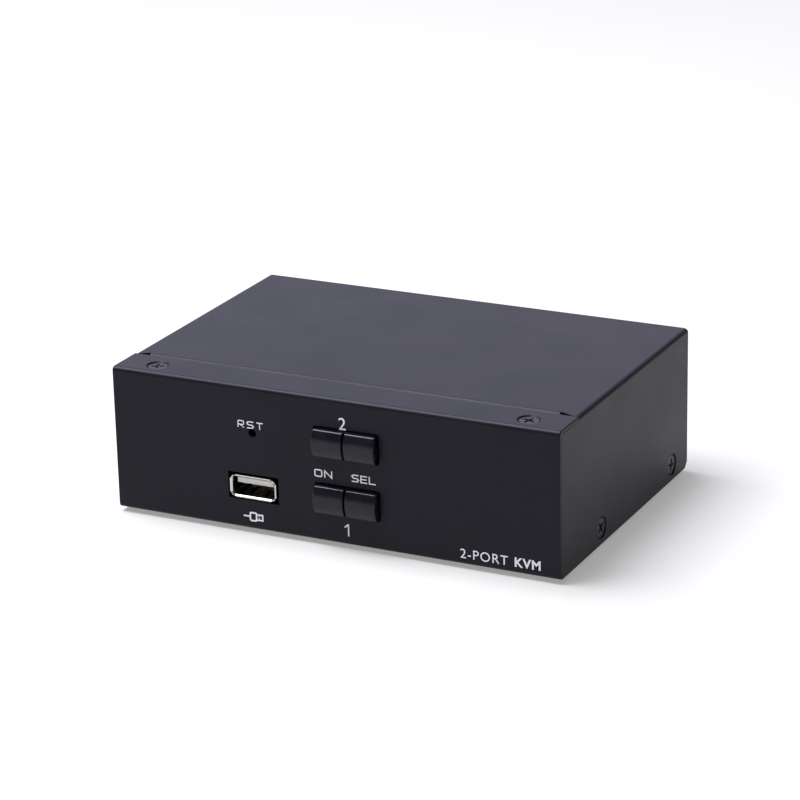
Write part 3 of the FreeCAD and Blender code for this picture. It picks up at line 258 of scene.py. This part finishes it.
def button_gloss():
    """Smoked gloss plastic: nearly black, with faint sink waves and a few hairline rubs."""
    gloss = Shader("button_gloss")
    gloss.set(Specular_IOR_Level=0.30)
    sink = gloss.noise(4*MM, detail=1.0, rough=0.4)
    along_hairlines = gloss.stretched((0.25, 1.0, 1.0), turn=(0, 0.5, 0))
    rubs = gloss.noise(0.3*MM, detail=3.0, rough=0.7, vector=along_hairlines)
    gloss.tint(sink, dark=(0.005, 0.0045, 0.008), light=(0.008, 0.0075, 0.012))
    gloss.roughen(rubs, 0.22, 0.33, start=0.35, end=0.8)
    gloss.feed(gloss.bump(sink, depth=0.02*MM), "Normal")
    return gloss.material


def board_laminate():
    """Green solder mask over woven laminate, with copper tracks showing through."""
    board = Shader("board_laminate")
    board.set(Specular_IOR_Level=0.5, Coat_Weight=0.4, Coat_Roughness=0.2)
    weave = board.node("ShaderNodeTexBrick")
    weave.inputs["Scale"].default_value = 1/(1.2*MM)
    weave.inputs["Mortar Size"].default_value = 0.04
    board.link(board.coordinates, weave.inputs["Vector"])
    tracks = board.spread(board.cells(5*MM, "DISTANCE_TO_EDGE"), 1, 0, start=0.03, end=0.06)
    cloth = board.blend(weave.outputs["Fac"], (0.010, 0.075, 0.030), (0.016, 0.100, 0.040))
    over_copper = (0.045, 0.190, 0.060)
    board.feed(board.blend(tracks, cloth, over_copper), "Base Color")
    board.roughen(board.noise(0.6*MM), 0.26, 0.4)
    board.feed(board.bump(tracks, depth=0.03*MM), "Normal")
    return board.material


def lamp_lens():
    """Tinted clear epoxy with a few haze clouds."""
    lens = Shader("lamp_lens")
    lens.set(IOR=1.5, Transmission_Weight=0.7)
    haze = lens.noise(0.8*MM)
    lens.tint(haze, dark=(0.30, 0.75, 0.36), light=(0.52, 0.86, 0.52))
    lens.roughen(haze, 0.08, 0.25)
    return lens.material


def printed_ink():
    """Pale screen-printed ink, a little uneven over the coat below."""
    ink = Shader("printed_ink")
    ink.set(Specular_IOR_Level=0.3)
    cover = ink.noise(0.22*MM, detail=3.0, rough=0.6)
    ink.tint(cover, dark=(0.80, 0.80, 0.86), light=(0.92, 0.92, 0.97))
    ink.roughen(cover, 0.5, 0.68)
    ink.feed(ink.bump(cover, depth=0.006*MM), "Normal")
    return ink.material


def floor_paper():
    """Seamless pale sheet that glows a little, as over a light table, to keep its shadows weak."""
    paper = Shader("floor_paper")
    paper.set(Roughness=0.9, Specular_IOR_Level=0.1, Emission_Color=(1.0, 1.0, 0.98, 1.0),
              Emission_Strength=0.31)
    paper.tint(paper.noise(350*MM), dark=(0.43, 0.43, 0.41), light=(0.45, 0.45, 0.43))
    return paper.material


def dress_cad_nodes():
    """Give every node carried over from the CAD model its material."""
    top_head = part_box("top_screws")[1].z
    side_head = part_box("side_screws")[1].x
    tray_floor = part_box("chassis")[0].z
    mouths = -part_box("front_usb_shell")[0].y
    by_slot = {
        "black_powder_coat": powder_coat(),
        "foot_rubber": foot_rubber(),
        "plated_steel": plated_metal(
            "plated_steel", bare=(0.62, 0.61, 0.60), warm=(0.68, 0.65, 0.58), rough=0.32,
            grain=(1.0, 1.0, 0.1), painted_below=tray_floor + 0.02*MM),
        "board_laminate": board_laminate(),
        # The socket plate gets painted shade inside, darker with depth behind the mouths.
        "socket_shell_plate": plated_metal(
            "socket_plate", bare=(0.55, 0.53, 0.51), warm=(0.59, 0.55, 0.49), rough=0.20,
            grain=(1.0, 0.08, 1.0), shade_behind_mouth=mouths),
        "socket_black_plastic": moulded(
            "socket_black", dark=(0.012, 0.012, 0.013), light=(0.018, 0.018, 0.020), rough=0.42),
        "tongue_pale_plastic": moulded(
            "tongue_pale", dark=(0.80, 0.78, 0.75), light=(0.86, 0.84, 0.81), rough=0.42),
        "contact_gold": plated_metal(
            "contact_gold", bare=(0.90, 0.66, 0.28), warm=(0.95, 0.74, 0.38), rough=0.24,
            grain=(1.0, 0.1, 1.0)),
        "switch_plastic": moulded(
            "switch_body", dark=(0.018, 0.018, 0.020), light=(0.030, 0.030, 0.032), rough=0.48),
        "lamp_lens": lamp_lens(),
        "button_gloss_black": button_gloss(),
        "chip_resin": moulded(
            "chip_resin", dark=(0.014, 0.014, 0.015), light=(0.024, 0.024, 0.025), rough=0.62,
            specular=0.3, grain=0.12*MM),
        "can_aluminium": plated_metal(
            "can_aluminium", bare=(0.72, 0.72, 0.73), warm=(0.78, 0.78, 0.78), rough=0.36,
            grain=(0.1, 0.1, 1.0)),
    }
    own = {
        "top_screws": black_screw("Z", top_head),
        "side_screws": black_screw("X", side_head),
    }
    for part in frame["record"]["subparts"]:
        thing = frame["nodes"][part["node"]]
        material = own.get(part["node"]) or by_slot[part["material_slot"]]
        thing.data.materials.clear()
        thing.data.materials.append(material)


# ---------------------------------------------------------------------------------------------
# Printed marks: thin raised shapes on a panel. A mark is drawn on its own plane, X to the right
# and Y up, from height 0 to 1, in strokes of one width. Words and numbers are drawn 1 tall.
# ---------------------------------------------------------------------------------------------

INK = printed_ink()
INK_THICK = 0.03*MM
ARC_STEPS = 5
MITRE_LEAST = 0.3  # keeps the outer point of a sharp corner short
MERGE_WITHIN = 1e-5


def soften(points, radius, closed):
    """Replace each corner of a path with a short arc."""
    points = [Vector(p) for p in points]
    if radius <= 0:
        return points
    path = []
    last = len(points) - 1
    for i, corner in enumerate(points):
        if not closed and i in (0, last):
            path.append(corner)
            continue
        before, after = points[i - 1], points[(i + 1) % len(points)]
        reach = min(radius, (before - corner).length/2, (after - corner).length/2)
        start = corner + (before - corner).normalized()*reach
        end = corner + (after - corner).normalized()*reach
        for step in range(ARC_STEPS + 1):
            t = step/ARC_STEPS
            path.append(start*(1 - t)**2 + corner*2*t*(1 - t) + end*t**2)
    return path


def stroke(bm, points, half, closed=False, radius=0.0):
    """A flat solid ribbon along a path, twice half wide, with mitred corners."""
    path = soften(points, radius, closed)
    count = len(path)
    rows = []
    for i, point in enumerate(path):
        incoming = point - path[i - 1] if closed or i > 0 else path[1] - path[0]
        outgoing = path[(i + 1) % count] - point if closed or i < count - 1 else incoming
        incoming, outgoing = incoming.normalized(), outgoing.normalized()
        mean = (incoming + outgoing).normalized()
        side = Vector((-mean.y, mean.x))
        reach = half/max(MITRE_LEAST, mean.dot(outgoing))
        left, right = point + side*reach, point - side*reach
        rows.append([bm.verts.new((p.x, p.y, z)) for p in (left, right) for z in (1.0, 0.0)])
    spans = range(count if closed else count - 1)
    for i in spans:
        a, b = rows[i], rows[(i + 1) % count]
        bm.faces.new((a[2], b[2], b[0], a[0]))
        bm.faces.new((a[0], b[0], b[1], a[1]))
        bm.faces.new((a[3], b[3], b[2], a[2]))
        bm.faces.new((a[1], b[1], b[3], a[3]))
    if not closed:
        first, end = rows[0], rows[-1]
        bm.faces.new((first[2], first[0], first[1], first[3]))
        bm.faces.new((end[0], end[2], end[3], end[1]))


def flat_solid(bm, corners):
    """A flat solid through a few corners, counter-clockwise."""
    top = [bm.verts.new((x, y, 1.0)) for x, y in corners]
    low = [bm.verts.new((x, y, 0.0)) for x, y in corners]
    bm.faces.new(top)
    bm.faces.new(low[::-1])
    for i in range(len(corners)):
        j = (i + 1) % len(corners)
        bm.faces.new((top[i], low[i], low[j], top[j]))


def letter(bm, name, wide, half):
    """One squared capital in a cell from 0 to wide and 0 to 1."""
    left, right, low, high, mid = half, wide - half, half, 1 - half, 0.5
    bend = 0.22
    if name == "O":
        stroke(bm, [(left, low), (right, low), (right, high), (left, high)], half,
               closed=True, radius=bend)
    elif name == "N":
        stroke(bm, [(left, 0), (left, high), (right, low), (right, 1)], half)
    elif name == "S":
        stroke(bm, [(wide, high), (left, high), (left, mid), (right, mid), (right, low), (0, low)],
               half, radius=bend)
    elif name == "E":
        stroke(bm, [(wide, high), (left, high), (left, low), (wide, low)], half)
        stroke(bm, [(2*half, mid), (wide - half, mid)], 0.9*half)
    elif name == "L":
        stroke(bm, [(left, 1), (left, low), (wide, low)], half)
    elif name == "T":
        stroke(bm, [(0, high), (wide, high)], half)
        stroke(bm, [(wide/2, 1 - 2*half), (wide/2, 0)], half)
    elif name == "R":
        bowl = 0.42
        leg_high = bowl - half
        leg_top, leg_foot, leg_wide = 0.40*wide, wide - 2.1*half, 2.3*half
        stroke(bm, [(left, 0), (left, high), (right, high), (right, bowl), (2*half, bowl)], half,
               radius=0.8*bend)
        flat_solid(bm, [(leg_top, leg_high), (leg_foot, 0), (leg_foot + leg_wide, 0),
                        (leg_top + leg_wide, leg_high)])


def finish_mark(bm, name, spot, unit, facing="front"):
    """Scale a drawing, lay it on a panel about a spot and hand it over as a printed piece."""
    bmesh.ops.recalc_face_normals(bm, faces=bm.faces)
    mesh = bpy.data.meshes.new(name)
    bm.to_mesh(mesh)
    bm.free()
    mesh.transform(Matrix.Diagonal((unit, unit, INK_THICK, 1.0)))
    upright = Matrix.Rotation(math.radians(90), 4, "X")
    turned = Matrix.Rotation(math.radians(180), 4, "Z") if facing == "rear" else Matrix.Identity(4)
    mesh.transform(Matrix.Translation(spot) @ turned @ upright)
    piece = bpy.data.objects.new(name, mesh)
    bpy.context.scene.collection.objects.link(piece)
    mesh.materials.append(INK)
    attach(piece, "case")


def squared_word(name, word, spot, tall, wide, gap, half):
    """A word in squared capitals; a letter's width, the gap and half a stroke are shares of tall."""
    bm = bmesh.new()
    start = -(len(word)*wide + (len(word) - 1)*gap)/2
    for place, capital in enumerate(word):
        drawn_before = len(bm.verts)
        letter(bm, capital, wide, half)
        bmesh.ops.translate(bm, verts=list(bm.verts)[drawn_before:],
                            vec=(start + place*(wide + gap), -0.5, 0))
    finish_mark(bm, name, spot, tall)


def plain_word(name, word, spot, tall, facing="front", weight=0.0, spacing=1.0):
    """A word in a plain typeface; weight thickens its strokes."""
    curve = bpy.data.curves.new(name, "FONT")
    curve.body = word
    curve.size = 1.0
    curve.offset = weight
    curve.space_character = spacing
    curve.extrude = 0.5
    holder = bpy.data.objects.new(name + "_type", curve)
    bpy.context.scene.collection.objects.link(holder)
    bpy.context.view_layer.update()
    mesh = bpy.data.meshes.new_from_object(holder.evaluated_get(bpy.context.evaluated_depsgraph_get()))
    bpy.data.objects.remove(holder)
    bm = bmesh.new()
    bm.from_mesh(mesh)
    bpy.data.meshes.remove(mesh)
    bmesh.ops.remove_doubles(bm, verts=bm.verts, dist=MERGE_WITHIN)
    xs = [v.co.x for v in bm.verts]
    ys = [v.co.y for v in bm.verts]
    grow = 1/(max(ys) - min(ys))
    centre = Vector(((min(xs) + max(xs))/2, (min(ys) + max(ys))/2, 0))
    for v in bm.verts:
        v.co = Vector(((v.co.x - centre.x)*grow, (v.co.y - centre.y)*grow, v.co.z + 0.5))
    finish_mark(bm, name, spot, tall, facing)


def flagged_one(name, spot, tall, facing="front"):
    """A one with a flag, since the plain typeface's is hard to tell from a bar."""
    bm = bmesh.new()
    stem, half, top, neck = 0.12, 0.055, 0.5, 0.42
    left, right = stem - half, stem + half
    flag_tip, tip_high, tip_low, root_low = -0.22, 0.26, 0.14, 0.32
    stroke(bm, [(stem, -top), (stem, neck)], half)
    flat_solid(bm, [(left, top), (flag_tip, tip_high), (flag_tip, tip_low), (left, root_low)])
    flat_solid(bm, [(left, top), (left, neck), (right, neck), (right, top)])
    finish_mark(bm, name, spot, tall, facing)


def plug_sign(name, spot, unit):
    """A generic plug: a body, a metal nose with two windows, and a length of lead."""
    bm = bmesh.new()
    line = 0.075
    thin = 0.9*line
    body_left, body_right, body_up, body_bend = -0.35, 0.25, 0.36, 0.12
    nose_end, nose_up = 0.85, 0.24
    window, window_off, window_up, window_half = 0.52, 0.10, 0.045, 0.05
    lead_end = -1.0
    stroke(bm, [(body_left, -body_up), (body_right, -body_up), (body_right, body_up),
                (body_left, body_up)], line, closed=True, radius=body_bend)
    stroke(bm, [(body_right + line, nose_up), (nose_end, nose_up), (nose_end, -nose_up),
                (body_right + line, -nose_up)], thin)
    for height in (window_off, -window_off):
        stroke(bm, [(window, height - window_up), (window, height + window_up)], window_half)
    stroke(bm, [(body_left - line, 0), (lead_end, 0)], thin)
    finish_mark(bm, name, spot, unit)


def middle(node):
    low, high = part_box(node)
    return (low + high)/2


def on_panel(near, along, up, facing="front"):
    """A spot on the front or rear panel, so many mm along X and up from a point."""
    front, rear = (corner.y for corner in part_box("chassis"))
    return Vector((near.x + along*MM, rear if facing == "rear" else front, near.z + up*MM))


def build_front_marks():
    """The front panel's marks, placed from the buttons and sockets that they belong to."""
    low_button, high_button = middle("port_1_button_cap"), middle("port_2_button_cap")
    between = (low_button + high_button)/2
    plain_word("mark_two", "2", on_panel(high_button, along=-0.95, up=5.8), tall=3.3*MM)
    flagged_one("mark_one", on_panel(low_button, along=-0.35, up=-7.95), tall=3.4*MM)
    squared_word("mark_on", "ON", on_panel(between, along=-6.9, up=-1.0), tall=2.1*MM,
                 wide=1.12, gap=0.26, half=0.074)
    squared_word("mark_sel", "SEL", on_panel(between, along=4.9, up=-0.9), tall=2.1*MM,
                 wide=0.94, gap=0.23, half=0.076)
    squared_word("mark_rst", "RST", on_panel(middle("reset_plunger"), along=-0.5, up=2.15),
                 tall=2.0*MM, wide=0.98, gap=0.42, half=0.07)
    plug_sign("mark_plug", on_panel(middle("front_usb_shell"), along=-0.2, up=-8.3), unit=3.1*MM)
    low_end, high_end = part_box("chassis")
    corner = Vector((high_end.x, 0, low_end.z))
    caption = {"tall": 2.6*MM, "spacing": 1.12}
    plain_word("mark_caption", "2-PORT", on_panel(corner, along=-21.3, up=3.2), **caption)
    plain_word("mark_caption_end", "KVM", on_panel(corner, along=-9.1, up=3.2), weight=0.03, **caption)


def build_rear_marks():
    """Each port's number, between its video socket and its host socket."""
    numeral = {"tall": 2.8*MM, "facing": "rear"}
    spots = []
    for port in (1, 2):
        video, host = middle(f"port_{port}_video_shell"), middle(f"port_{port}_host_shell")
        between = Vector(((video.x + host.x)/2, 0, video.z))
        spots.append(on_panel(between, along=0.8, up=0.6, facing="rear"))
    flagged_one("mark_rear_1", spots[0], **numeral)
    plain_word("mark_rear_2", "2", spots[1], **numeral)


# ---------------------------------------------------------------------------------------------
# Floor, light and camera. Places are in metres, and X is to the right of the front.
# ---------------------------------------------------------------------------------------------

FLOOR_RADIUS = 6.0
FLOOR_SIDES = 96

SURROUND_COLOUR = (0.91, 0.90, 1.10, 1.0)
BRIGHT_SIDE = (-0.61, 0.61, 0.51)
BRIGHT_FROM, BRIGHT_FULL = 0.35, 1.0
DIMMEST, BRIGHTEST = 0.11, 1.20

SOFTBOX_SPOT = Vector((-0.45, -0.15, 1.25))
SOFTBOX_WIDE = 0.9
SOFTBOX_WATTS = 34.0
SOFTBOX_COLOUR = (0.93, 0.92, 1.0)

CAMERA_AZIMUTH = math.radians(26.6)
CAMERA_ELEVATION = math.radians(19.8)
CAMERA_ROLL = math.radians(-1.33)
CAMERA_DISTANCE = 0.8527
CAMERA_AIM = Vector((-1.5, 1.3, 5.3))*MM  # from the middle of the object's box
LENS_MM, SENSOR_MM = 141.3, 36.0
NEAREST = 0.01


def build_floor():
    """A large pale sheet at the height that the feet rest on."""
    bm = bmesh.new()
    bmesh.ops.create_circle(bm, cap_ends=True, radius=FLOOR_RADIUS, segments=FLOOR_SIDES)
    mesh = bpy.data.meshes.new("floor")
    bm.to_mesh(mesh)
    bm.free()
    mesh.materials.append(floor_paper())
    floor = bpy.data.objects.new("floor", mesh)
    bpy.context.scene.collection.objects.link(floor)
    floor.location.z = cad_box[0][2]


def build_surround():
    """Light from all round, brightest from high at the rear left and dim from elsewhere."""
    world = bpy.data.worlds.new("surround")
    bpy.context.scene.world = world
    world.use_nodes = True
    tree = world.node_tree
    background = tree.nodes["Background"]
    direction = tree.nodes.new("ShaderNodeTexCoord").outputs["Generated"]
    toward = tree.nodes.new("ShaderNodeVectorMath")
    toward.operation = "DOT_PRODUCT"
    toward.inputs[1].default_value = BRIGHT_SIDE
    ramp = tree.nodes.new("ShaderNodeMapRange")
    ramp.interpolation_type = "SMOOTHSTEP"
    for name, value in (("From Min", BRIGHT_FROM), ("From Max", BRIGHT_FULL),
                        ("To Min", DIMMEST), ("To Max", BRIGHTEST)):
        ramp.inputs[name].default_value = value
    tree.links.new(direction, toward.inputs[0])
    tree.links.new(toward.outputs["Value"], ramp.inputs["Value"])
    tree.links.new(ramp.outputs["Result"], background.inputs["Strength"])
    background.inputs["Color"].default_value = SURROUND_COLOUR


def build_softbox():
    """One softbox overhead and to the left, facing the origin."""
    light = bpy.data.lights.new("softbox_over", "AREA")
    light.shape = "RECTANGLE"
    light.size = light.size_y = SOFTBOX_WIDE
    light.energy = SOFTBOX_WATTS
    light.color = SOFTBOX_COLOUR
    holder = bpy.data.objects.new("softbox_over", light)
    bpy.context.scene.collection.objects.link(holder)
    holder.location = SOFTBOX_SPOT
    holder.rotation_euler = (-SOFTBOX_SPOT).to_track_quat("-Z", "Y").to_euler()


def build_camera():
    """A long lens to the right of the front and a little above it."""
    centre = (Vector(cad_box[0]) + Vector(cad_box[1]))/2
    level = math.cos(CAMERA_ELEVATION)
    away = Vector((math.sin(CAMERA_AZIMUTH)*level, -math.cos(CAMERA_AZIMUTH)*level,
                   math.sin(CAMERA_ELEVATION)))
    data = bpy.data.cameras.new("camera")
    data.lens = LENS_MM
    data.sensor_width = SENSOR_MM
    data.clip_start = NEAREST
    camera = bpy.data.objects.new("camera", data)
    bpy.context.scene.collection.objects.link(camera)
    turn = (-away).to_track_quat("-Z", "Y").to_matrix().to_4x4() @ Matrix.Rotation(CAMERA_ROLL, 4, "Z")
    camera.matrix_world = Matrix.Translation(centre + CAMERA_AIM + away*CAMERA_DISTANCE) @ turn
    bpy.context.scene.camera = camera


dress_cad_nodes()
build_front_marks()
build_rear_marks()
build_floor()
build_surround()
build_softbox()
build_camera()
bpy.context.scene.view_settings.view_transform = "Standard"
